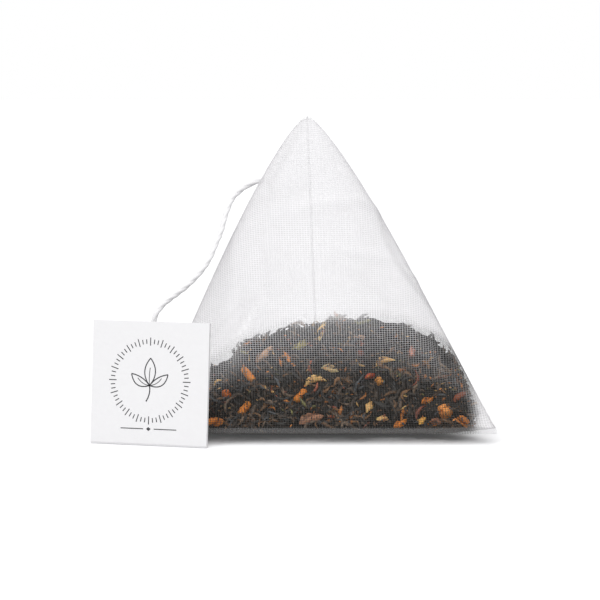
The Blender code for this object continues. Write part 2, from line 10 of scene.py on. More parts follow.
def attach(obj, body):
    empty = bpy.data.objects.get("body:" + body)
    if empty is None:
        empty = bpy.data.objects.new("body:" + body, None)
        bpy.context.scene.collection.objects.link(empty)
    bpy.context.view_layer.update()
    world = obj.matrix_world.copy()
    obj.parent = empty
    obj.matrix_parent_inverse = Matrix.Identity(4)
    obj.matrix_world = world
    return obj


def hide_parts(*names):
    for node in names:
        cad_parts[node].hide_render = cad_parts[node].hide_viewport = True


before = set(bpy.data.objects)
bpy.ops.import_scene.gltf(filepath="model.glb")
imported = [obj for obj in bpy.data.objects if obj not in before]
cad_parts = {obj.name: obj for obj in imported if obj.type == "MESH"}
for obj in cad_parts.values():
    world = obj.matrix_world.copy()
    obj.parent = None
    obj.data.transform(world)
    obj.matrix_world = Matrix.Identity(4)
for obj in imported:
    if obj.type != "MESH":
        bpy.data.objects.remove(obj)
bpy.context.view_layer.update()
bpy.ops.object.select_all(action="DESELECT")
scene = bpy.context.scene
scene.view_settings.view_transform = "Standard"

# The camera, a long lens just above the table, square on to the bag's front.
# It is set by one point of the front seal: where that is, how far off, and where it shows in the picture.
SEAL_POINT = Vector((0, -0.035, 0.002))
SEAL_POINT_IN_PICTURE = (320.5, 432)
PICTURE = 600
CAMERA_DISTANCE = 0.520
CAMERA_ELEVATION = math.radians(5.0)
PIXELS_PER_TANGENT = 2954.5
SENSOR = 36
looking = Vector((0, math.cos(CAMERA_ELEVATION), -math.sin(CAMERA_ELEVATION)))
upwards = Vector((0, math.sin(CAMERA_ELEVATION), math.cos(CAMERA_ELEVATION)))
aside = (SEAL_POINT_IN_PICTURE[0] - PICTURE / 2) / PIXELS_PER_TANGENT * CAMERA_DISTANCE
above = (PICTURE / 2 - SEAL_POINT_IN_PICTURE[1]) / PIXELS_PER_TANGENT * CAMERA_DISTANCE
stand = SEAL_POINT - looking * CAMERA_DISTANCE - Vector((aside, 0, 0)) - upwards * above
bpy.ops.object.camera_add(location=stand, rotation=(math.pi / 2 - CAMERA_ELEVATION, 0, 0))
camera = bpy.context.object
camera.data.lens = PIXELS_PER_TANGENT * SENSOR / PICTURE
camera.data.sensor_width = SENSOR
camera.data.clip_start = 0.01
scene.camera = camera

# The table and the light: a white table under an even white sky, with two wide soft lamps, high in front and
# high behind. The camera sees the table white where nothing shades it, and less of its light reaches the bag.


def seen_plainly(nodes, links):
    """1 for what the camera sees, straight or in a shine or through glass, and 0 for the light on the bag."""
    path = nodes.new("ShaderNodeLightPath")
    plain = path.outputs["Is Camera Ray"]
    for also in ("Is Glossy Ray", "Is Transmission Ray"):
        either = nodes.new("ShaderNodeMath")
        either.operation = "MAXIMUM"
        links.new(plain, either.inputs[0])
        links.new(path.outputs[also], either.inputs[1])
        plain = either.outputs[0]
    return plain


bpy.ops.mesh.primitive_plane_add(size=6)
table = bpy.context.object
table.name = "table"
table_look = bpy.data.materials.new("white table")
table_look.use_nodes = True
nodes, links = table_look.node_tree.nodes, table_look.node_tree.links
nodes.clear()
out = nodes.new("ShaderNodeOutputMaterial")
for_camera = nodes.new("ShaderNodeBsdfDiffuse")
for_camera.inputs["Color"].default_value = (0.92, 0.92, 0.93, 1)
for_others = nodes.new("ShaderNodeBsdfDiffuse")
for_others.inputs["Color"].default_value = (0.50, 0.50, 0.51, 1)
glow = nodes.new("ShaderNodeEmission")
glow.inputs["Strength"].default_value = 0.06
added = nodes.new("ShaderNodeAddShader")
chosen = nodes.new("ShaderNodeMixShader")
links.new(for_camera.outputs[0], added.inputs[0])
links.new(glow.outputs[0], added.inputs[1])
links.new(seen_plainly(nodes, links), chosen.inputs[0])
links.new(for_others.outputs[0], chosen.inputs[1])
links.new(added.outputs[0], chosen.inputs[2])
links.new(chosen.outputs[0], out.inputs["Surface"])
table.data.materials.append(table_look)

world = bpy.data.worlds.new("white sky")
world.use_nodes = True
scene.world = world
nodes, links = world.node_tree.nodes, world.node_tree.links
sky = nodes["Background"]
sky.inputs["Color"].default_value = (1, 1, 1, 1)
sky.inputs["Strength"].default_value = 0.62
backdrop = nodes.new("ShaderNodeBackground")
backdrop.inputs["Color"].default_value = (1, 1, 1, 1)
backdrop.inputs["Strength"].default_value = 1
either = nodes.new("ShaderNodeMixShader")
links.new(seen_plainly(nodes, links), either.inputs[0])
links.new(sky.outputs[0], either.inputs[1])
links.new(backdrop.outputs[0], either.inputs[2])
links.new(either.outputs[0], nodes["World Output"].inputs["Surface"])

for name, strength, spread, shines in (
    ("front lamp", 1.40, 50, (0.30, 0.75, -0.75)),
    ("top lamp", 0.95, 70, (-0.10, -0.35, -1.0)),
):
    bpy.ops.object.light_add(type="SUN", location=(0, 0, 1))
    lamp = bpy.context.object
    lamp.name = name
    lamp.data.energy = strength
    lamp.data.angle = math.radians(spread)
    lamp.rotation_euler = Vector(shines).to_track_quat("-Z", "Y").to_euler()

# The bag's cloth: fine white see-through mesh, woven as a tube, welded flat at the front,
# and welded again at the back a quarter turn round, which makes the pyramid. Its warps run along the tube.
TUBE_WIDTH = 0.062
TUBE_LENGTH = 0.070
SEAL_FIN = 0.0018
SEAL_HALF_THICKNESS = 0.00012
FRONT_LIFT = 0.0027
APEX_LEAN = 0.0022
SIDE_FULLNESS = 0.586
TOP_FULLNESS = 1.10
BELLY_FULLNESS = 0.78
SQUARENESS = 5.0
WARPS_IN_QUARTER = 67
WEFT_PITCH = 0.00045
THREAD_WIDTH = 0.000058
WEAVE_WAVE = 0.000018
OFF_TABLE = 0.00004
front_point = np.array([0, -TUBE_LENGTH / 2, 0])
spine = math.sqrt(TUBE_LENGTH**2 - (TUBE_WIDTH / 2) ** 2)
along_axis = np.array([0, spine / TUBE_LENGTH, TUBE_WIDTH / 2 / TUBE_LENGTH])
across_axis = np.array([0, -along_axis[2], along_axis[1]])
apex_height = spine * along_axis[2] + TUBE_WIDTH / 2 * across_axis[2]


def quarter_turn(half_width, half_height, shares):
    """Points at these shares of the length of a squared ellipse's quarter, from its side to its top."""
    angle = np.linspace(0, math.pi / 2, 160)
    x = half_width * np.cos(angle).clip(0) ** (2 / SQUARENESS)
    y = half_height * np.sin(angle).clip(0) ** (2 / SQUARENESS)
    run = np.concatenate([[0], np.cumsum(np.hypot(np.diff(x), np.diff(y)))])
    return np.interp(shares * run[-1], run, x), np.interp(shares * run[-1], run, y)


def bag_ring(along, around, inset=0.0):
    """Points round the bag, where 0 is the lapped seam on the right, 1 the front face, 2 left and 3 below."""
    share = min(max(along / TUBE_LENGTH, 0), 1)
    half_width = max(TUBE_WIDTH / 2 * (1 - share) ** SIDE_FULLNESS, SEAL_HALF_THICKNESS) - inset
    half_height = max(TUBE_WIDTH / 2 * share**TOP_FULLNESS, SEAL_HALF_THICKNESS) - inset
    half_belly = max(TUBE_WIDTH / 2 * share**BELLY_FULLNESS, SEAL_HALF_THICKNESS) - inset
    if along >= TUBE_LENGTH:
        half_belly = half_height
    turn = np.asarray(around, float) % 4
    number = np.floor(turn).astype(int)
    part = turn - number
    shares = np.where(number % 2 == 0, part, 1 - part)
    above_x, above_z = quarter_turn(half_width, half_height, shares)
    below_x, below_z = quarter_turn(half_width, half_belly, shares)
    x = np.where(number < 2, above_x, below_x) * np.where((number == 0) | (number == 3), 1, -1)
    z = np.where(number < 2, above_z, -below_z)
    beyond = min(along, 0) + max(along - TUBE_LENGTH, 0)
    centre = front_point + along_axis * (share * spine + beyond)
    points = centre + np.outer(x, (1, 0, 0)) + np.outer(z, across_axis)
    points[:, 2] += FRONT_LIFT * (1 - (points[:, 1] - front_point[1]) / TUBE_LENGTH)
    points[:, 0] -= APEX_LEAN * points[:, 2] / apex_height
    points[:, 2] = points[:, 2].clip(max(inset, 0) + OFF_TABLE)
    return points


# Soft creases in the cloth: start and end as (quarters round, metres along), then width and height in metres
CREASES = (
    ((1.62, 0.012), (1.30, 0.030), 0.0012, -0.00055),
    ((0.62, 0.022), (0.30, 0.012), 0.0012, -0.00050),
    ((0.35, 0.026), (0.22, 0.010), 0.0009, -0.00055),
    ((1.20, 0.048), (0.55, 0.052), 0.0016, 0.00040),
    ((0.90, 0.040), (0.35, 0.036), 0.0014, 0.00045),
    ((0.40, 0.050), (0.30, 0.040), 0.0012, -0.00050),
)


def crease_heights(around, along):
    """How far the cloth stands off its smooth form at each point."""
    heights = np.zeros(np.broadcast(around, along).shape)
    flat_x = np.asarray(around, float) * TUBE_WIDTH / 2
    for start, end, width, height in CREASES:
        a = np.array([start[0] * TUBE_WIDTH / 2, start[1]])
        b = np.array([end[0] * TUBE_WIDTH / 2, end[1]])
        run = b - a
        t = ((flat_x - a[0]) * run[0] + (along - a[1]) * run[1]) / (run @ run)
        away = np.hypot(flat_x - a[0] - t.clip(0, 1) * run[0], along - a[1] - t.clip(0, 1) * run[1])
        fade = np.sin(np.pi * t.clip(0, 1)) ** 0.6
        heights += height * fade * np.exp(-((away / width) ** 2))
    return heights


rows = round(TUBE_LENGTH / WEFT_PITCH)
fin_rows = round(SEAL_FIN / WEFT_PITCH)
alongs = np.arange(-fin_rows, rows + 1) * TUBE_LENGTH / rows
arounds = np.arange(4 * WARPS_IN_QUARTER) / WARPS_IN_QUARTER
cloth = np.array([bag_ring(along, arounds) for along in alongs])
tangent_round = np.roll(cloth, -1, axis=1) - np.roll(cloth, 1, axis=1)
tangent_along = np.gradient(cloth, axis=0)
outward = np.cross(tangent_round, tangent_along)
outward = -outward / np.linalg.norm(outward, axis=2, keepdims=True).clip(1e-12)
middle = cloth.mean(axis=1, keepdims=True)
outward *= np.sign(((cloth - middle) * outward).sum(axis=2, keepdims=True) + 1e-12)
cloth = cloth + outward * crease_heights(arounds[None, :], alongs[:, None])[:, :, None]
cloth[:, :, 2] = cloth[:, :, 2].clip(OFF_TABLE)


def mesh_of(name, points, *faces):
    """A new object from an array of points and arrays of faces, each array with its own number of corners."""
    mesh = bpy.data.meshes.new(name)
    corners = np.concatenate([part.ravel() for part in faces]).astype(np.int32)
    sizes = np.concatenate([np.full(len(part), part.shape[1]) for part in faces])
    mesh.vertices.add(len(points))
    mesh.vertices.foreach_set("co", np.asarray(points, np.float32).ravel())
    mesh.loops.add(len(corners))
    mesh.loops.foreach_set("vertex_index", corners)
    mesh.polygons.add(len(sizes))
    mesh.polygons.foreach_set("loop_start", (np.cumsum(sizes) - sizes).astype(np.int32))
    mesh.update(calc_edges=True)
    made = bpy.data.objects.new(name, mesh)
    scene.collection.objects.link(made)
    return made


def tinted(piece, tints, cover=1):
    """Gives each point of the piece its own colour and cover, which its material reads."""
    colors = piece.data.attributes.new("tint", "FLOAT_COLOR", "POINT")
    tints = np.column_stack([tints, np.broadcast_to(cover, len(tints))])
    colors.data.foreach_set("color", tints.astype(np.float32).ravel())


def tube_sides(index, inwards=False):
    """The faces round a tube, from the numbers of its points, with one row of numbers for each ring."""
    here, there = index[:-1], index[1:]
    corners = [here, np.roll(here, -1, 1), np.roll(there, -1, 1), there]
    if inwards:
        corners = corners[:1] + corners[:0:-1]
    return np.stack(corners, axis=-1).reshape(-1, 4)


def threads(paths, normals, width):
    """Points, sides and ends of three-sided threads along these paths, with one face of each outwards."""
    run = np.gradient(paths, axis=1)
    side = np.cross(run, normals)
    side /= np.linalg.norm(side, axis=2, keepdims=True).clip(1e-12)
    high = paths + normals * width * 0.29
    low = paths - normals * width * 0.58
    ring = np.stack([high - side * width / 2, high + side * width / 2, low], axis=2)
    index = np.arange(ring[:, :, :, 0].size).reshape(ring.shape[:3])
    here, there = index[:, :-1], index[:, 1:]
    sides = np.stack([here, np.roll(here, -1, 2), np.roll(there, -1, 2), there], axis=-1)
    ends = np.concatenate([index[:, 0, ::-1], index[:, -1]])
    return ring.reshape(-1, 3), sides.reshape(-1, 4), ends


# Fine uneven colour and relief, for every finish here that isn't perfectly even
unevenness = bpy.data.node_groups.new("fine unevenness", "ShaderNodeTree")
unevenness.interface.new_socket("Color", in_out="INPUT", socket_type="NodeSocketColor")
unevenness.interface.new_socket("Grain Size", in_out="INPUT", socket_type="NodeSocketFloat")
unevenness.interface.new_socket("Darker", in_out="INPUT", socket_type="NodeSocketFloat")
unevenness.interface.new_socket("Lighter", in_out="INPUT", socket_type="NodeSocketFloat")
unevenness.interface.new_socket("Color", in_out="OUTPUT", socket_type="NodeSocketColor")
unevenness.interface.new_socket("Height", in_out="OUTPUT", socket_type="NodeSocketFloat")
nodes, links = unevenness.nodes, unevenness.links
given, result = nodes.new("NodeGroupInput"), nodes.new("NodeGroupOutput")
place = nodes.new("ShaderNodeTexCoord")
per_metre = nodes.new("ShaderNodeMath")
per_metre.operation = "DIVIDE"
per_metre.inputs[0].default_value = 1
links.new(given.outputs["Grain Size"], per_metre.inputs[1])
grain = nodes.new("ShaderNodeTexNoise")
grain.inputs["Detail"].default_value = 3
links.new(place.outputs["Object"], grain.inputs["Vector"])
links.new(per_metre.outputs[0], grain.inputs["Scale"])
factor = nodes.new("ShaderNodeMapRange")
factor.inputs["From Min"].default_value = 0.3
factor.inputs["From Max"].default_value = 0.7
links.new(grain.outputs["Fac"], factor.inputs["Value"])
links.new(given.outputs["Darker"], factor.inputs["To Min"])
links.new(given.outputs["Lighter"], factor.inputs["To Max"])
scaled = nodes.new("ShaderNodeVectorMath")
scaled.operation = "SCALE"
links.new(given.outputs["Color"], scaled.inputs[0])
links.new(factor.outputs["Result"], scaled.inputs["Scale"])
links.new(scaled.outputs[0], result.inputs["Color"])
links.new(grain.outputs["Fac"], result.inputs["Height"])


def uneven_finish(name, color, roughness, grain, darker, lighter, relief):
    """A material of this colour, or of its piece's own tints where color is None, with fine unevenness."""
    made = bpy.data.materials.new(name)
    made.use_nodes = True
    nodes, links = made.node_tree.nodes, made.node_tree.links
    shader = nodes["Principled BSDF"]
    shader.inputs["Roughness"].default_value = roughness
    uneven = nodes.new("ShaderNodeGroup")
    uneven.node_tree = unevenness
    uneven.inputs["Grain Size"].default_value = grain
    uneven.inputs["Darker"].default_value = darker
    uneven.inputs["Lighter"].default_value = lighter
    if color is None:
        tint = nodes.new("ShaderNodeAttribute")
        tint.attribute_name = "tint"
        links.new(tint.outputs["Color"], uneven.inputs["Color"])
    else:
        uneven.inputs["Color"].default_value = (*color, 1)
    links.new(uneven.outputs["Color"], shader.inputs["Base Color"])
    bump = nodes.new("ShaderNodeBump")
    bump.inputs["Distance"].default_value = relief
    links.new(uneven.outputs["Height"], bump.inputs["Height"])
    links.new(bump.outputs["Normal"], shader.inputs["Normal"])
    return made


# Painted shade on the threads where tea lies against the cloth, darker and darker towards the bottom, where
# the see-through threads get no light through them from behind
LINE_STEP = 0.002
PLAIN_THREAD = np.array([0.90, 0.89, 0.905])
PLAIN_FILM = np.array([0.95, 0.94, 0.955])
SHADED_THREAD = np.array([0.042, 0.038, 0.034])
SHADE_AT_CREST = 0.12
SHADED_CORNER = 0.015
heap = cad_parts["tea_fill"]
heap_points = np.array([vertex.co[:] for vertex in heap.data.vertices])
line_x = np.arange(heap_points[:, 0].min() + LINE_STEP, heap_points[:, 0].max() - LINE_STEP, LINE_STEP)
line_z = [heap_points[np.abs(heap_points[:, 0] - x) < LINE_STEP, 2].max() for x in line_x]
line_x = np.concatenate([[-TUBE_WIDTH / 2], line_x, [TUBE_WIDTH / 2]])
line_z = np.minimum(line_z, np.minimum(line_z[:1] + line_z[:-1], line_z[1:] + line_z[-1:]))
line_z = np.concatenate([[0], line_z, [0]])


def tea_line(x):
    """How high the tea stands against the front face."""
    return np.interp(x, line_x, line_z)


# The cloth's points that tea lies against: on the front those below its line, elsewhere those with tea over
# them. Beside the heap it leans on the cloth a little beyond its own outline.
SIDE_REACH = 0.0022
EMPTY_CORNER = 0.0262
EMPTY_EDGE = 0.002
CREST_EDGE = 0.0016
NEAR_SEAL = 0.006
LOWEST_LINE = 0.002
DARKEST_DEPTH = 0.52
CORNER_EDGE = 0.008
SHADE_IN_CORNER = 0.75
heap_surface = BVHTree.FromPolygons(
    [vertex.co for vertex in heap.data.vertices], [face.vertices for face in heap.data.polygons]
)
quarter_of = np.broadcast_to(arounds[None, :], cloth.shape[:2])
reach = np.sign(cloth[:, :, 0]) * SIDE_REACH
line = np.maximum(tea_line(cloth[:, :, 0]), tea_line(cloth[:, :, 0] - reach))
at_tea = np.where(quarter_of < 2, (line - cloth[:, :, 2]) / CREST_EDGE + 1.1, 0.0)
for row, column in zip(*np.nonzero(quarter_of >= 2)):
    place = Vector(cloth[row, column])
    top = heap_surface.ray_cast((place.x, place.y, TUBE_WIDTH), (0, 0, -1))[0]
    near_seal = place.y < front_point[1] + NEAR_SEAL
    at_tea[row, column] = near_seal or (top is not None and top.z > place.z)
at_tea = at_tea.clip(0, 1) * (1 - ((cloth[:, :, 0] - EMPTY_CORNER) / EMPTY_EDGE).clip(0, 1))
for _ in range(2):
    at_tea[1:-1] = (at_tea[:-2] + at_tea[1:-1] + at_tea[2:]) / 3
    at_tea = (np.roll(at_tea, 1, 1) + at_tea + np.roll(at_tea, -1, 1)) / 3
line = line.clip(LOWEST_LINE)
deep = ((line - cloth[:, :, 2]) / line / DARKEST_DEPTH).clip(0, 1)
# Painted shade: darker where tea lies against the cloth, most of all low down and in the right-hand corner
painted_shade = at_tea * (SHADE_AT_CREST + (1 - SHADE_AT_CREST) * deep * deep * (3 - 2 * deep))
in_corner = ((cloth[:, :, 0] - SHADED_CORNER) / CORNER_EDGE).clip(0, 1)
painted_shade = np.maximum(painted_shade, at_tea * SHADE_IN_CORNER * in_corner)

# Painted shade along soft folds in the empty cloth, which show darker there: points (x, z) up each fold, how
# far it shades to its left and right, and how much.
RIGHT_FOLD = (
    (0.0213, 0.021),
    (0.0186, 0.024),
    (0.0163, 0.0268),
    (0.0138, 0.030),
    (0.0118, 0.0345),
    (0.0108, 0.039),
)
LEFT_FOLD = ((-0.0203, 0.017), (-0.0172, 0.0202), (-0.0140, 0.0234))
UPPER_FOLD = ((-0.0090, 0.0440), (-0.0055, 0.0500), (-0.0030, 0.0550))
FOLD_FADE = 0.0015
SOFT_FOLDS = (
    (RIGHT_FOLD, 0.0003, 0.0013, 0.11),
    (LEFT_FOLD, 0.0003, 0.0006, 0.08),
    (UPPER_FOLD, 0.0008, 0.0003, 0.08),
)
for fold, to_left, to_right, darker in SOFT_FOLDS:
    fold = np.array(fold)
    beside = cloth[:, :, 0] - np.interp(cloth[:, :, 2], fold[:, 1], fold[:, 0])
    shade = np.exp(-((beside / np.where(beside < 0, to_left, to_right)) ** 2))
    past_end = np.maximum(fold[0, 1] - cloth[:, :, 2], cloth[:, :, 2] - fold[-1, 1]).clip(0)
    shade = shade * np.exp(-((past_end / FOLD_FADE) ** 2)) * (quarter_of < 2)
    painted_shade = np.maximum(painted_shade, darker * shade)


def shaded_tint(painted_shade):
    """The colour of threads with this much painted shade, for the three points of each of their rings."""
    painted_shade = np.repeat(painted_shade.reshape(-1), 3)[:, None]
    return PLAIN_THREAD * (1 - painted_shade) + SHADED_THREAD * painted_shade


mesh_look = uneven_finish("white mesh thread", None, 0.55, 0.0004, 0.96, 1.0, 0.00001)

# A plain weave: where warp and weft cross, each is over the other by turns
parity = np.indices(cloth.shape[:2]).sum(axis=0) % 2 * 2 - 1
wave = outward * (WEAVE_WAVE * parity)[:, :, None]
# Each quarter of the tube is one piece of warps and wefts. Each quarter of the tube is declared as cut
# cloth, of which the drawn threads' own area is this share
QUARTERS = ("mesh_right_front", "mesh_left_front", "mesh_left_under", "mesh_right_under")
for number, name in enumerate(QUARTERS):
    columns = np.arange(number * WARPS_IN_QUARTER, (number + 1) * WARPS_IN_QUARTER)
    joined = np.append(columns, columns[-1] + 1) % (4 * WARPS_IN_QUARTER)
    warps = threads(
        (cloth + wave)[:, columns].transpose(1, 0, 2), outward[:, columns].transpose(1, 0, 2), THREAD_WIDTH
    )
    wefts = threads((cloth - wave)[:, joined], outward[:, joined], THREAD_WIDTH)
    points = np.concatenate([warps[0], wefts[0]])
    sides = np.concatenate([warps[1], wefts[1] + len(warps[0])])
    ends = np.concatenate([warps[2], wefts[2] + len(warps[0])])
    piece = mesh_of(name, points, sides, ends)
    # Each thread's colour carries the painted shade
    tinted(piece, np.concatenate([shaded_tint(painted_shade[:, columns].T), shaded_tint(painted_shade[:, joined])]))
    piece.data.materials.append(mesh_look)
    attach(piece, "root")
    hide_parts("mesh_bag")

# The finest filaments between the drawn threads are too fine to draw, and show as a pale see-through film.
# It covers least where tea lies against it, and less on the cloth that faces away than on the front.
FILM_COVER = 0.62
FILM_COVER_BEHIND = 0.26
FILM_COVER_AT_TEA = 0.02
FILM_BEHIND = 0.00004
FILM_OFF_TABLE = 0.00003
# Denser streaks: quarters round and their spread, share of the length and its spread, and how much more cover
FILM_STREAKS = (
    (0.52, 0.07, 0.66, 0.22, 0.22),
    (1.50, 0.04, 0.86, 0.14, 0.20),
    (1.48, 0.05, 0.30, 0.12, 0.15),
)
film = cloth[fin_rows::2, ::2] - outward[fin_rows::2, ::2] * FILM_BEHIND
film[:, :, 2] = film[:, :, 2].clip(FILM_OFF_TABLE)
index = np.arange(film[:, :, 0].size).reshape(film.shape[:2])
film_ends = np.array([index[0], index[-1, ::-1]])
piece = mesh_of("fine_filaments", film.reshape(-1, 3), tube_sides(index, inwards=True), film_ends)
film_shade = painted_shade[fin_rows::2, ::2].reshape(-1)
away = np.interp(outward[fin_rows::2, ::2, 1], (-0.25, 0.25), (FILM_COVER, FILM_COVER_BEHIND))
cover = (away + (FILM_COVER_AT_TEA - away) * at_tea[fin_rows::2, ::2]).reshape(-1)
for quarters, spread, share_along, length, more in FILM_STREAKS:
    off = (arounds[None, ::2] - quarters) / spread
    off_along = (alongs[fin_rows::2, None] / TUBE_LENGTH - share_along) / length
    cover += (more * np.exp(-(off**2) - off_along**4)).reshape(-1)
# The film takes the threads' painted shade where tea lies against it
tinted(piece, PLAIN_FILM * (1 - film_shade[:, None]) + SHADED_THREAD * film_shade[:, None], cover)
film_look = uneven_finish("fine white filaments", None, 0.6, 0.0012, 0.95, 1.0, 0.00002)
nodes, links = film_look.node_tree.nodes, film_look.node_tree.links
links.new(nodes["Attribute"].outputs["Alpha"], nodes["Principled BSDF"].inputs["Alpha"])
piece.data.materials.append(film_look)
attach(piece, "root")
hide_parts("mesh_bag")

# The tube's own lapped seam, down its right-hand fold. The cloth is cut as one flat strip, and its two long
# edges lie one over the other there and are welded, so the warps lie double.
LAP_QUARTERS = 0.03
LAP_BEHIND = 1.6
lap_rows = slice(fin_rows, -2)
lap_warps = round(LAP_QUARTERS * WARPS_IN_QUARTER)
lap_columns = np.arange(-lap_warps, lap_warps + 1)
lap_cloth = cloth[lap_rows][:, lap_columns] - outward[lap_rows][:, lap_columns] * THREAD_WIDTH * LAP_BEHIND
lap_cloth[:, :, 2] = lap_cloth[:, :, 2].clip(OFF_TABLE)
lap_out = outward[lap_rows][:, lap_columns]
shifted = (lap_cloth[:, 1:] + lap_cloth[:, :-1]) / 2, (lap_out[:, 1:] + lap_out[:, :-1]) / 2
points, sides, ends = threads(shifted[0].transpose(1, 0, 2), shifted[1].transpose(1, 0, 2), THREAD_WIDTH)
piece = mesh_of("lapped_seam", points, sides, ends)
# Its threads take the same painted shade as the cloth's
tinted(piece, shaded_tint(painted_shade[lap_rows][:, lap_columns[1:]].T))
piece.data.materials.append(mesh_look)
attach(piece, "root")
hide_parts("mesh_bag")

# The two seals, one level at the front and one upright at the back. The cloth's two layers are welded and cut
# there between ribbed jaws, and melt into a thin ribbed band.
WELD_ROWS = 8
WELD_RIB = 0.00006
WELD_COLOR = (0.90, 0.895, 0.91)
for name, first_along, last_along, cover in (
    ("front_weld", -SEAL_FIN, -0.0002, 0.05),
    ("rear_weld", TUBE_LENGTH + 0.0002, TUBE_LENGTH + SEAL_FIN, 0.03),
):
    around = np.arange(8 * WARPS_IN_QUARTER) / (2 * WARPS_IN_QUARTER)
    band = []
    for along in np.linspace(first_along, last_along, WELD_ROWS):
        flat, raised = bag_ring(along, around), bag_ring(along, around, -WELD_RIB)
        band.append(np.where((np.arange(len(around)) % 2 == 0)[:, None], raised, flat))
    band = np.array(band)
    index = np.arange(band.shape[0] * band.shape[1]).reshape(band.shape[:2])
    half = len(around) // 2
    near, far = index[:, : half + 1], index[:, -np.arange(half + 1)]
    first_edge = np.stack([near[0, :-1], near[0, 1:], far[0, 1:], far[0, :-1]], axis=-1)[1:-1]
    last_edge = np.stack([near[-1, 1:], near[-1, :-1], far[-1, :-1], far[-1, 1:]], axis=-1)[1:-1]
    tips = [index[0, [0, 1, -1]], index[0, [half, half + 1, half - 1]]]
    tips += [index[-1, [0, -1, 1]], index[-1, [half, half - 1, half + 1]]]
    piece = mesh_of(
        name,
        band.reshape(-1, 3),
        tube_sides(index, inwards=True),
        np.concatenate([first_edge, last_edge]),
        np.array(tips),
    )
    weld_look = uneven_finish(name.replace("_", " "), WELD_COLOR, 0.4, 0.0006, 0.9, 1.0, 0.00002)
    weld_look.node_tree.nodes["Principled BSDF"].inputs["Alpha"].default_value = cover
    piece.data.materials.append(weld_look)
    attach(piece, "root")
    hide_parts("mesh_bag")

# The tea: black leaf, rolled, twisted and broken, pressed against the cloth and heaped in the bottom of the
# bag. The heap's body keeps its own shape, and leaves of all sizes lie against the cloth and over its top.
SIDES, STATIONS = 6, 7
FORMS = 24
seeds = np.random.default_rng(5)
tea_look = uneven_finish("black tea leaf", None, 0.5, 0.0005, 0.45, 1.5, 0.00008)
heap.data.materials.clear()
heap_look = uneven_finish("tea in the heap", (0.012, 0.010, 0.008), 0.8, 0.0009, 0.4, 1.6, 0.0003)
heap.data.materials.append(heap_look)
# The colours of the leaves, each with the share of the leaves up to and including it
TEA_COLORS = (
    (0.48, (0.010, 0.008, 0.006)),
    (0.66, (0.034, 0.023, 0.015)),
    (0.79, (0.100, 0.068, 0.045)),
    (0.85, (0.060, 0.066, 0.072)),
    (0.935, (0.15, 0.075, 0.030)),
    (0.958, (0.46, 0.16, 0.030)),
    (0.975, (0.50, 0.30, 0.10)),
    (0.988, (0.14, 0.13, 0.045)),
    (1.01, (0.22, 0.060, 0.030)),
)


def leaf_form():
    """One rolled leaf along x: its points for a length of one, and those round it for a thickness of one."""
    t = np.linspace(-1, 1, STATIONS)
    bend, twist = seeds.uniform(-0.42, 0.42, 2) * (1, 0.5), seeds.uniform(-2.4, 2.4)
    axis = np.stack([t / 2, bend[0] * t**2, bend[1] * np.sin(2.4 * t)], axis=1)
    girth = (1 - np.abs(t) ** 2.5) ** 0.5 * 0.75 + 0.15 + seeds.uniform(-0.12, 0.12, STATIONS)
    angle = np.arange(SIDES) * math.tau / SIDES
    flatness = seeds.uniform(0.25, 0.9)
    skin = girth[:, None] * seeds.uniform(0.6, 1.35, (STATIONS, SIDES))
    y, z = skin * np.cos(angle), skin * np.sin(angle) * flatness
    spin = (twist * t)[:, None]
    across = [np.zeros_like(y), y * np.cos(spin) - z * np.sin(spin), y * np.sin(spin) + z * np.cos(spin)]
    return axis, np.stack(across, axis=2)


index = np.arange(SIDES * STATIONS).reshape(STATIONS, SIDES)
leaf_ends = [index[0, [0, 5, 4, 3]], index[0, [3, 2, 1, 0]], index[-1, [0, 1, 2, 3]], index[-1, [3, 4, 5, 0]]]
leaf_faces = np.concatenate([tube_sides(index), leaf_ends])
forms = [leaf_form() for _ in range(FORMS)]


# The leaves are kept this far behind the cloth, and drawn in by this factor until they are
BEHIND_CLOTH = 0.00012
DRAWN_IN = 0.88
LEAVES_OFF_TABLE = 0.0001
coarse = cloth[::3, ::4]
index = np.arange(coarse[:, :, 0].size).reshape(coarse.shape[:2])
cloth_surface = BVHTree.FromPolygons(coarse.reshape(-1, 3).tolist(), tube_sides(index).tolist())
in_the_bag = Vector((0, 0, 0.010))
wall, out, _, _ = cloth_surface.find_nearest(in_the_bag)
inside_sign = -1 if out.dot(in_the_bag - wall) > 0 else 1


def pushed_in(shape):
    """These points, moved back together, and drawn in where there is little room, until none stands out."""
    for _ in range(6):
        worst, way = 0, np.zeros(3)
        for point in shape:
            near, out, _, _ = cloth_surface.find_nearest(point)
            out = out * inside_sign
            through = (Vector(point) - near).dot(out) + BEHIND_CLOTH
            if through > worst:
                worst, way = through, np.array(out)
        if worst < BEHIND_CLOTH / 4:
            break
        shape = shape - way * worst
        middle = shape.mean(axis=0)
        shape = middle + (shape - middle) * DRAWN_IN
    return shape


def leaf_color(colorful):
    """The colour of one leaf. The higher colorful is, the more often it isn't black."""
    draw = seeds.uniform(0, 1) ** (1 / colorful)
    return np.array(next(color for limit, color in TEA_COLORS if draw < limit)) * seeds.uniform(0.35, 1.9)


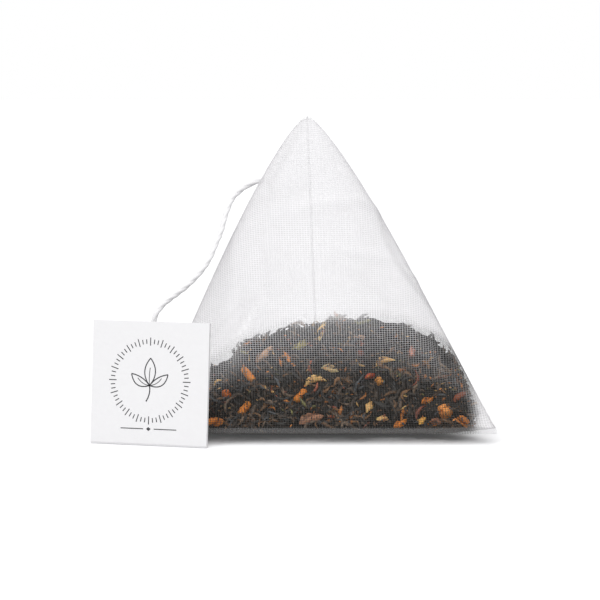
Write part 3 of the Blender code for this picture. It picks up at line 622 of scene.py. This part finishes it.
def scatter(name, spots, normals, lengths, tilt, colorful):
    """One piece of many leaves, one at each spot, each turned its own way and nearly square to its normal."""
    points, faces, tints = [], [], []
    for number, (spot, normal, length) in enumerate(zip(spots, normals, lengths)):
        square = Vector(normal).to_track_quat("Z", "Y").to_matrix()
        turn = Matrix.Rotation(seeds.uniform(0, math.tau), 3, "Z")
        turn = turn @ Matrix.Rotation(seeds.normal(0, tilt), 3, "Y")
        turn = turn @ Matrix.Rotation(seeds.uniform(-0.5, 0.5), 3, "X")
        axis, across = forms[seeds.integers(FORMS)]
        thick = length * seeds.uniform(0.05, 0.12) + 0.00012
        shape = (axis[:, None, :] * length + across * thick).reshape(-1, 3)
        points.append(pushed_in(shape @ np.array(square @ turn).T + spot))
        faces.append(leaf_faces + number * SIDES * STATIONS)
        shade = seeds.uniform(0.7, 1.4, (SIDES * STATIONS, 1))
        tints.append(leaf_color(colorful(spot)) * shade)
    points = np.concatenate(points)
    points[:, 2] = points[:, 2].clip(LEAVES_OFF_TABLE)
    piece = mesh_of(name, points, np.concatenate(faces))
    tinted(piece, np.concatenate(tints))
    piece.data.materials.append(tea_look)
    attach(piece, "root")


def more_color_lower(spot):
    """How colourful a leaf is: the lower it lies, the more."""
    return 1.75 - 1.1 * min(max(spot[2] / line_z.max(), 0), 1)


# Leaves pressed against the cloth, wherever the tea stands higher than it. None lie in the right-hand corner,
# and under the front seal only a few lie near its right end.
PRESSED_LEAVES = 2400
PRESSED_LENGTHS = (0.0012, 0.0046)
PRESSED_DEPTHS = (0.00035, 0.00125)
BARE_FOLD = 0.07
BARE_FOLD_FROM = 0.020
BARE_CORNER = 0.0272
UNDER_FRONT = 0.007
UNDER_FRONT_FROM = 0.017
WAVE_SIZES = (0.0052, 0.0031, 0.0019, 0.0012, 0.0009, 0.0007)
WAVE_STARTS = np.random.default_rng(8).uniform(0, math.tau, len(WAVE_SIZES))


def ragged_line(x):
    """The tea's line with the ups and downs that single leaves make."""
    waves = [np.sin(x / size + start) for size, start in zip(WAVE_SIZES, WAVE_STARTS)]
    return tea_line(x) - 0.0004 + 0.0009 * waves[0] + 0.0009 * waves[1] + 0.0006 * sum(waves[2:])


inner = cloth[fin_rows + 1 : -1]
inner_out = outward[fin_rows + 1 : -1]
quarter_of = quarter_of[fin_rows + 1 : -1]
room = np.linalg.norm(np.cross(np.gradient(inner, axis=1), np.gradient(inner, axis=0)), axis=2)
below = (quarter_of < 2) | (at_tea[fin_rows + 1 : -1] > 0.6)
below &= inner[:, :, 2] < ragged_line(inner[:, :, 0])
bare = (np.minimum(quarter_of, 4 - quarter_of) < BARE_FOLD) & (inner[:, :, 0] > BARE_FOLD_FROM)
bare |= inner[:, :, 0] > BARE_CORNER
under_front = (quarter_of > 2) & (inner[:, :, 1] < front_point[1] + UNDER_FRONT)
bare |= under_front & (inner[:, :, 0] < UNDER_FRONT_FROM)
bare[:2] = True
# The larger pieces lie against the cloth with no other leaf over them
CLEAR_OF_PIECES = 0.0019
NOT_PIECES = ("mesh_bag", "tea_fill", "tag", "thread")
names = [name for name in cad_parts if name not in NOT_PIECES and not name.startswith("black")]
piece_points = [vertex.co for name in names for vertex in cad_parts[name].data.vertices]
tree = KDTree(len(piece_points))
for number, place in enumerate(piece_points):
    tree.insert(place, number)
tree.balance()
clear = np.array([tree.find(point)[2] for point in inner.reshape(-1, 3)]).reshape(below.shape)
density = np.where(quarter_of < 2, 1.6, np.where(under_front, 2.5, 1.0))
weight = room * (below & ~bare & (clear > CLEAR_OF_PIECES)) * density
picked = seeds.choice(weight.size, PRESSED_LEAVES, p=weight.ravel() / weight.sum())
lengths = seeds.uniform(*PRESSED_LENGTHS, PRESSED_LEAVES)
depth = seeds.uniform(*PRESSED_DEPTHS, PRESSED_LEAVES)[:, None]
normals = inner_out.reshape(-1, 3)[picked]
jitter = seeds.normal(0, 0.00015, (PRESSED_LEAVES, 3))
scatter(
    "leaves_at_the_cloth",
    inner.reshape(-1, 3)[picked] - normals * depth + jitter,
    normals,
    lengths,
    0.06,
    more_color_lower,
)

# Leaves over the heap's top and along its ragged crest
TOP_LEAVES = 900
CREST_LEAVES = 420
CREST_SPREAD = (-0.36, 0.44)
CREST_DEPTHS = (0.0005, 0.0030)
LOOSE_LENGTHS = (0.0012, 0.0034)
heap.data.calc_loop_triangles()
corners = np.array([heap.data.vertices[i].co[:] for t in heap.data.loop_triangles for i in t.vertices])
corners = corners.reshape(-1, 3, 3)
normals = np.cross(corners[:, 1] - corners[:, 0], corners[:, 2] - corners[:, 0])
areas = np.linalg.norm(normals, axis=1)
normals /= areas[:, None].clip(1e-15)
weight = areas * (normals[:, 2] > 0.15) * (normals[:, 1] > -0.35)
picked = seeds.choice(len(areas), TOP_LEAVES, p=weight / weight.sum())
share = seeds.dirichlet((1, 1, 1), TOP_LEAVES)
spots = (corners[picked] * share[:, :, None]).sum(axis=1) + normals[picked] * 0.0002
crest_x = seeds.uniform(*CREST_SPREAD, CREST_LEAVES) * TUBE_WIDTH
crest_z = ragged_line(crest_x) + seeds.normal(-0.0002, 0.0006, CREST_LEAVES)
face = cloth[:, : 2 * WARPS_IN_QUARTER].reshape(-1, 3)
face_out = outward[:, : 2 * WARPS_IN_QUARTER].reshape(-1, 3)
nearest = [np.hypot(face[:, 0] - x, face[:, 2] - z).argmin() for x, z in zip(crest_x, crest_z)]
crest_depth = seeds.uniform(*CREST_DEPTHS, CREST_LEAVES)[:, None]
crest_spots = face[nearest] - face_out[nearest] * crest_depth
scatter(
    "leaves_on_the_heap",
    np.concatenate([spots, crest_spots]),
    np.concatenate([normals[picked], face_out[nearest]]),
    seeds.uniform(*LOOSE_LENGTHS, TOP_LEAVES + CREST_LEAVES),
    0.30,
    lambda spot: 0.7,
)

# Crumbs and dust: bits of leaf and stalk under a millimetre long, a few of them clinging to the cloth above
# the tea. Each is an uneven octahedron.
CRUMBS = 1500
CRUMB_SIZES = (0.00008, 0.00022)
CRUMB_DEPTHS = (0.00025, 0.0005)
octahedron = np.array([[1, 0, 0], [0, 1, 0], [-1, 0, 0], [0, -1, 0], [0, 0, 1], [0, 0, -1]])
octahedron_faces = np.array(
    [[0, 1, 4], [1, 2, 4], [2, 3, 4], [3, 0, 4], [1, 0, 5], [2, 1, 5], [3, 2, 5], [0, 3, 5]]
)
height_over = inner[:, :, 2] - tea_line(inner[:, :, 0])
clinging = np.where(height_over < 0, 1.0, 0.05 * np.exp(-height_over / 0.004)) * (quarter_of < 2)
weight = room * clinging * np.where((height_over > 0) | bare, 0.6, 1.0)
picked = seeds.choice(weight.size, CRUMBS, p=weight.ravel() / weight.sum())
places, outs = inner.reshape(-1, 3)[picked], inner_out.reshape(-1, 3)[picked]
points, faces, tints = [], [], []
for number, (place, out) in enumerate(zip(places, outs)):
    size = seeds.uniform(*CRUMB_SIZES) * np.array([seeds.uniform(1, 3.2), 1, seeds.uniform(0.5, 1)])
    turn = Matrix.Rotation(seeds.uniform(0, math.tau), 3, "Z")
    turn = turn @ Matrix.Rotation(seeds.uniform(-0.6, 0.6), 3, "X")
    square = np.array(Vector(out).to_track_quat("Z", "Y").to_matrix() @ turn)
    shape = octahedron * size * seeds.uniform(0.7, 1.3, (6, 1))
    points.append(shape @ square.T + place - out * seeds.uniform(*CRUMB_DEPTHS))
    faces.append(octahedron_faces + number * 6)
    over = place[2] > tea_line(place[0])
    tints.append(np.tile(leaf_color(0.5 if over else 2.6), (6, 1)))
points = np.concatenate(points)
points[:, 2] = points[:, 2].clip(LEAVES_OFF_TABLE)
piece = mesh_of("tea_crumbs", points, np.concatenate(faces))
tinted(piece, np.concatenate(tints))
piece.data.materials.append(tea_look)
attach(piece, "root")

# The larger pieces of the tea that show through the cloth: stalks, downy golden tips, rolled leaves and buds.
# Each takes the place, the length and the bend of its node, and is rolled, grooved and frayed.
PIECE_STATIONS, PIECE_SIDES = 17, 12
PIECES_OFF_TABLE = 0.0002
STALK, TIP, LEAF, BUD, ROSETTE = "stalk", "tip", "leaf", "bud", "rosette"
ORANGE, GOLD, RED, PALE, BLACK, GREEN = (
    (0.72, 0.210, 0.022),
    (0.74, 0.41, 0.15),
    (0.46, 0.060, 0.015),
    (0.44, 0.26, 0.16),
    (0.016, 0.012, 0.010),
    (0.38, 0.32, 0.10),
)
TEA_PIECES = (
    ("stalk_long", STALK, ORANGE, "orange_stalk"),
    ("stalk_left", STALK, ORANGE, "orange_stalk"),
    ("stalk_low_left", LEAF, ORANGE, "orange_stalk"),
    ("stalk_middle", STALK, ORANGE, "orange_stalk"),
    ("stalk_low_right", TIP, ORANGE, "orange_stalk"),
    ("stalk_right", TIP, ORANGE, "orange_stalk"),
    ("stalk_pink", STALK, (0.45, 0.20, 0.15), "pale_leaf"),
    ("stalk_edge", LEAF, (0.50, 0.16, 0.02), "orange_stalk"),
    ("golden_tip_long", TIP, GOLD, "golden_tip"),
    ("golden_tip_upper", TIP, (0.74, 0.50, 0.25), "golden_tip"),
    ("golden_tip_top", TIP, GOLD, "golden_tip"),
    ("golden_tip_arc", TIP, GOLD, "golden_tip"),
    ("golden_tip_right", TIP, GOLD, "golden_tip"),
    ("golden_tip_low", TIP, GOLD, "golden_tip"),
    ("golden_tip_small", TIP, (0.72, 0.32, 0.06), "golden_tip"),
    ("rolled_leaf_green", LEAF, GREEN, "green_leaf"),
    ("rolled_leaf_brown", LEAF, PALE, "pale_leaf"),
    ("rolled_leaf_pink", LEAF, (0.40, 0.19, 0.11), "pale_leaf"),
    ("rolled_leaf_tan", LEAF, PALE, "pale_leaf"),
    ("red_bud", BUD, (0.70, 0.16, 0.02), "red_leaf"),
    ("red_tip", TIP, RED, "red_leaf"),
    ("orange_bud", BUD, (0.72, 0.30, 0.07), "orange_stalk"),
    ("orange_rosette", ROSETTE, (0.74, 0.26, 0.06), "orange_stalk"),
    ("red_leaf", LEAF, (0.22, 0.050, 0.014), "red_leaf"),
    ("red_leaf_low", LEAF, (0.24, 0.090, 0.040), "red_leaf"),
    ("black_leaf_left", LEAF, BLACK, "black_tea"),
    ("black_leaf_middle", LEAF, BLACK, "black_tea"),
    ("black_leaf_right", LEAF, BLACK, "black_tea"),
    ("black_leaf_low", LEAF, BLACK, "black_tea"),
    ("black_leaf_top", LEAF, BLACK, "black_tea"),
)
# How much thicker than its node each kind is drawn, and how much and how late it tapers
PIECE_GROWTH = {STALK: 1.25, TIP: 1.5, LEAF: 1.45, BUD: 1.6, ROSETTE: 1.7}
GIRTHS = {STALK: (0.30, 12), TIP: (0.95, 2), LEAF: (0.85, 3), BUD: (0.9, 2), ROSETTE: (0.9, 2)}
index = np.arange(PIECE_STATIONS * PIECE_SIDES).reshape(PIECE_STATIONS, PIECE_SIDES)
rolled_sides = tube_sides(index)
rolled_ends = np.array([index[0, ::-1], index[-1]])


def rolled(middle, out, radius, kind):
    """A rolled, grooved piece round this middle line: its points, and how light each is, with painted shade
    in the groove and painted highlights on the ribs.
    """
    taper, roundness = GIRTHS[kind]
    t = np.linspace(-1, 1, PIECE_STATIONS)
    angle = np.arange(PIECE_SIDES) * math.tau / PIECE_SIDES
    forward = np.gradient(middle, axis=0)
    side = np.cross(out, forward)
    side /= np.linalg.norm(side, axis=1, keepdims=True)
    up = np.cross(forward, side)
    up /= np.linalg.norm(up, axis=1, keepdims=True)
    spin = seeds.uniform(0, math.tau) + t[:, None] * (0.4 if kind == STALK else seeds.uniform(0.7, 2.0))
    from_groove = np.angle(np.exp(1j * (angle + spin)))
    groove = np.exp(-((from_groove / 0.55) ** 2)) * (0.12 if kind == STALK else 0.62)
    ribs = 0.06 * np.cos(5 * angle + spin * 1.5) + seeds.uniform(-0.07, 0.07, (PIECE_STATIONS, PIECE_SIDES))
    girth = 1 - taper * np.abs(t[:, None]) ** roundness + seeds.uniform(-0.06, 0.06, (PIECE_STATIONS, 1))
    skin = radius * girth.clip(0.12) * (1 + ribs - groove)
    flat = 1.0 if kind == STALK else 0.8
    ring = skin[:, :, None] * (
        np.cos(angle)[None, :, None] * side[:, None, :] + flat * np.sin(angle)[None, :, None] * up[:, None, :]
    )
    # Painted shade darkens the groove and painted highlights lighten the ribs; the ends are a little paler
    painted_light = (1 - 1.1 * groove + 2.0 * ribs).clip(0.3, 1.3) * (1 + 0.25 * np.abs(t[:, None]) ** 4)
    return (middle[:, None, :] + ring).reshape(-1, 3), painted_light.reshape(-1, 1)


piece_look = uneven_finish("tea stalk and tip", None, 0.55, 0.00035, 0.75, 1.25, 0.00006)
for name, kind, color, slot in TEA_PIECES:
    node = np.array([vertex.co[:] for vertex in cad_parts[name].data.vertices])
    centre = node.mean(axis=0)
    axes = np.linalg.eigh(np.cov((node - centre).T))[1][:, ::-1].T
    local = (node - centre) @ axes.T
    half = np.ptp(local[:, 0]) / 2 * 1.04
    bow = np.polyfit(local[:, 0], local[:, 1], 2)
    away = np.hypot(local[:, 1] - np.polyval(bow, local[:, 0]), local[:, 2])
    radius = np.percentile(away, 75) * PIECE_GROWTH[kind]
    t = np.linspace(-1, 1, PIECE_STATIONS)
    shapes = []
    if kind in (STALK, TIP, LEAF):
        line = np.column_stack([t * half, np.polyval(bow, t * half), 0.12 * radius * np.sin(4 * t)])
        shapes.append(rolled(centre + line @ axes, axes[2], radius, kind))
    else:
        petals = 13 if kind == ROSETTE else 7
        for petal in range(petals):
            turn = math.tau * petal / petals * (1.62 if kind == BUD else 1) + seeds.uniform(-0.25, 0.25)
            reach = half * (0.80 if petal % 2 else 0.62) * seeds.uniform(0.8, 1.1)
            outwards = math.cos(turn) * axes[0] + math.sin(turn) * axes[1] * (1 if kind == ROSETTE else 0.7)
            lift = radius * (0.5 * (1 - (t + 1) ** 2 / 2) + (0.25 if petal % 2 else -0.1))
            line = centre + (t[:, None] + 1) / 2 * reach * outwards + lift[:, None] * axes[2]
            shapes.append(rolled(line, axes[2], radius * 0.42, kind))
    points = np.concatenate([shape[0] for shape in shapes])
    painted_light = np.concatenate([shape[1] for shape in shapes])
    steps = np.arange(len(shapes))[:, None, None] * PIECE_STATIONS * PIECE_SIDES
    points[:, 2] = points[:, 2].clip(PIECES_OFF_TABLE)
    piece = mesh_of(
        name + "_rolled",
        points,
        (rolled_sides[None] + steps).reshape(-1, 4),
        (rolled_ends[None] + steps).reshape(-1, PIECE_SIDES),
    )
    # Each piece's colour is painted 1.25 to 1.45 times lighter, painted light that makes up for the shade the
    # cloth casts on it
    tinted(piece, (np.array(color) * painted_light * seeds.uniform(1.25, 1.45)).clip(0, 0.95))
    piece.data.materials.append(piece_look)
    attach(piece, "root")
    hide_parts(name)

# The card tag: one strip of white card, cut and folded at its foot, with its two leaves glued together round
# the thread's end. It stands on its fold and leans back against the bag's seal.
CARD = 0.00035
TAG_YAW = math.radians(-18)
TAG_RECLINE = math.radians(5)
TAG_FOOT = Vector((-0.0300, -0.0377, 0))
tag_turn = Matrix.Rotation(TAG_YAW, 3, "Z") @ Matrix.Rotation(-TAG_RECLINE, 3, "X")
card_look = uneven_finish("white card", (0.93, 0.925, 0.935), 0.6, 0.0011, 0.985, 1.0, 0.00003)
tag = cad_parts["tag"]
tag.data.materials.clear()
tag.data.materials.append(card_look)

# The print on the tag's front: a ring of short strokes, a plain sprig of three leaves and a rule under them.
# Each printed line is a closed strip that stands just proud of the card.
INK_HEIGHT = 0.00002
INK_SUNK = 0.00004
RING_STROKES = 60
RING_RADIUS = 0.0069
STROKE = 0.00016
RING_MIDDLE = 0.0113


def stroke(line, widths):
    """A printed line on the tag through these (x, z) points, as a closed flat strip: its points and faces."""
    line = np.array(line, float)
    run = np.gradient(line, axis=0)
    run /= np.linalg.norm(run, axis=1, keepdims=True).clip(1e-12)
    aside = np.column_stack([-run[:, 1], run[:, 0]]) * np.broadcast_to(widths, len(line))[:, None] / 2
    left, right = line + aside, line - aside
    proud, sunk = -2 * CARD - INK_HEIGHT, -2 * CARD + INK_SUNK
    rings = [(left, proud), (right, proud), (right, sunk), (left, sunk)]
    edges = [np.column_stack([flat[:, 0], np.full(len(line), y), flat[:, 1]]) for flat, y in rings]
    index = np.arange(4 * len(line)).reshape(-1, 4)
    faces = np.concatenate([tube_sides(index), index[:1, ::-1], index[-1:]])
    return np.stack(edges, axis=1).reshape(-1, 3), faces


def arc(start, end, bulge, count=13):
    """Points from start to end on a smooth bow that stands off the straight line by bulge."""
    start, end = np.array(start), np.array(end)
    t = np.linspace(0, 1, count)[:, None]
    away = np.array([-(end - start)[1], (end - start)[0]]) / np.linalg.norm(end - start)
    return start + (end - start) * t + away * bulge * 4 * t * (1 - t)


strokes = []
for number in range(RING_STROKES):
    angle = math.tau * number / RING_STROKES
    out = np.array([math.cos(angle), math.sin(angle)])
    reach = out * (0.0004 if number % 3 else 0.0007)
    on_ring = out * RING_RADIUS + (0, RING_MIDDLE)
    strokes.append(stroke([on_ring - reach, on_ring + reach], STROKE))
fork = (0.0, RING_MIDDLE - 0.0008)
strokes.append(stroke(arc((-0.0006, RING_MIDDLE - 0.0036), fork, -0.0003), STROKE * 1.3))
for tip, bulges in (
    ((-0.0034, RING_MIDDLE + 0.0012), (0.0011, -0.0004, 0.0003)),
    ((0.0034, RING_MIDDLE + 0.0012), (-0.0011, 0.0004, -0.0003)),
    ((0.0001, RING_MIDDLE + 0.0040), (0.0010, -0.0010, 0.0001)),
):
    for bulge in bulges[:2]:
        strokes.append(stroke(arc(fork, tip, bulge), STROKE * 1.2))
    strokes.append(stroke(arc(fork, 0.35 * np.array(fork) + 0.65 * np.array(tip), bulges[2]), STROKE * 0.8))
RULE_HEIGHT = 0.0029
strokes.append(stroke(arc((-0.0052, RULE_HEIGHT), (-0.0010, RULE_HEIGHT), 0), STROKE))
strokes.append(stroke(arc((0.0010, RULE_HEIGHT), (0.0052, RULE_HEIGHT), 0), STROKE))
diamond = [(-0.0004, RULE_HEIGHT), (0, RULE_HEIGHT), (0.0004, RULE_HEIGHT)]
strokes.append(stroke(diamond, (0.00005, 0.0007, 0.00005)))
starts = np.cumsum([0] + [len(points) for points, _ in strokes])
faces = np.concatenate([part + start for (_, part), start in zip(strokes, starts)])
points = np.concatenate([points for points, _ in strokes])
points = points @ np.array(tag_turn).T + np.array(TAG_FOOT)
print_piece = mesh_of("tag_print", points, faces)
ink_look = uneven_finish("dark grey ink", (0.035, 0.035, 0.04), 0.5, 0.0003, 0.8, 1.3, 0.000005)
print_piece.data.materials.append(ink_look)
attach(print_piece, "root")

# The thread: white cotton, three plies twisted together. It is welded to the cloth at the bag's left fold and
# led down to the tag, where it is glued between the card's two leaves.
THREAD_DIAMETER = 0.00095
THREAD_SIDES = 24
PLY_PITCH = 0.0030
# In halves of the thread's diameter: how far off its middle a ply lies, a ply's radius, and the whole's mean
PLY_OFFSET = 0.34
PLY_RADIUS = 0.70
MEAN_RADIUS = 0.95
ROUTE_STEP = 0.00015
THREAD_ROUTE = (
    (-0.0118, 0.0024, 0.0443),
    (-0.0130, 0.0024, 0.0438),
    (-0.0144, 0.0017, 0.0430),
    (-0.0160, -0.0002, 0.0416),
    (-0.0168, -0.0025, 0.0401),
    (-0.0175, -0.0055, 0.0381),
    (-0.0181, -0.0090, 0.0358),
    (-0.0190, -0.0130, 0.0336),
    (-0.0200, -0.0168, 0.0313),
    (-0.0214, -0.0205, 0.0293),
    (-0.0237, -0.0250, 0.0271),
    (-0.0259, -0.0292, 0.0256),
    (-0.0274, -0.0322, 0.0246),
    (-0.0284, -0.0340, 0.0236),
    (-0.0290, -0.03515, 0.02255),
    (-0.0293, -0.03554, 0.02108),
    (-0.0294, -0.03589, 0.0169),
    (-0.0295, -0.03625, 0.0125),
)
WELDED_END = (-0.0104, 0.0026, 0.0447)
ends = [Vector(point) for point in (WELDED_END,) + THREAD_ROUTE]
ends = [2 * ends[0] - ends[1]] + ends + [2 * ends[-1] - ends[-2]]
route = []
for before, here, there, after in zip(ends, ends[1:], ends[2:], ends[3:]):
    steps = max(1, round((there - here).length / ROUTE_STEP))
    for step in range(steps):
        t = step / steps
        curve = 2 * here + (there - before) * t + (2 * before - 5 * here + 4 * there - after) * t**2
        route.append((curve + (3 * here - before - 3 * there + after) * t**3) / 2)
route = np.array(route + [ends[-2]])
step_lengths = np.linalg.norm(np.diff(route, axis=0), axis=1)
run = np.concatenate([[0], np.cumsum(step_lengths)])
forward = np.gradient(route, axis=0)
forward /= np.linalg.norm(forward, axis=1, keepdims=True)
side = np.cross(forward, (0.3, 0.9, 0.1))
side /= np.linalg.norm(side, axis=1, keepdims=True)
other = np.cross(forward, side)
angle = np.arange(THREAD_SIDES) * math.tau / THREAD_SIDES
from_ply = (angle + math.pi / 3) % (math.tau / 3) - math.pi / 3
lobes = PLY_OFFSET * np.cos(from_ply) + np.sqrt(PLY_RADIUS**2 - (PLY_OFFSET * np.sin(from_ply)) ** 2)
twist = run / PLY_PITCH * math.tau / 3
turned = angle[None, :] + twist[:, None]
ring = THREAD_DIAMETER / 2 / MEAN_RADIUS * lobes[None, :, None] * (
    np.cos(turned)[:, :, None] * side[:, None, :] + np.sin(turned)[:, :, None] * other[:, None, :]
)
body = route[:, None, :] + ring
index = np.arange(body.shape[0] * THREAD_SIDES).reshape(-1, THREAD_SIDES)
thread = mesh_of("tea_thread", body.reshape(-1, 3), tube_sides(index), np.array([index[0, ::-1], index[-1]]))
cotton_look = uneven_finish("white cotton", (0.88, 0.875, 0.885), 0.85, 0.00016, 0.86, 1.04, 0.00005)
thread.data.materials.append(cotton_look)
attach(thread, "root")
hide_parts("thread")
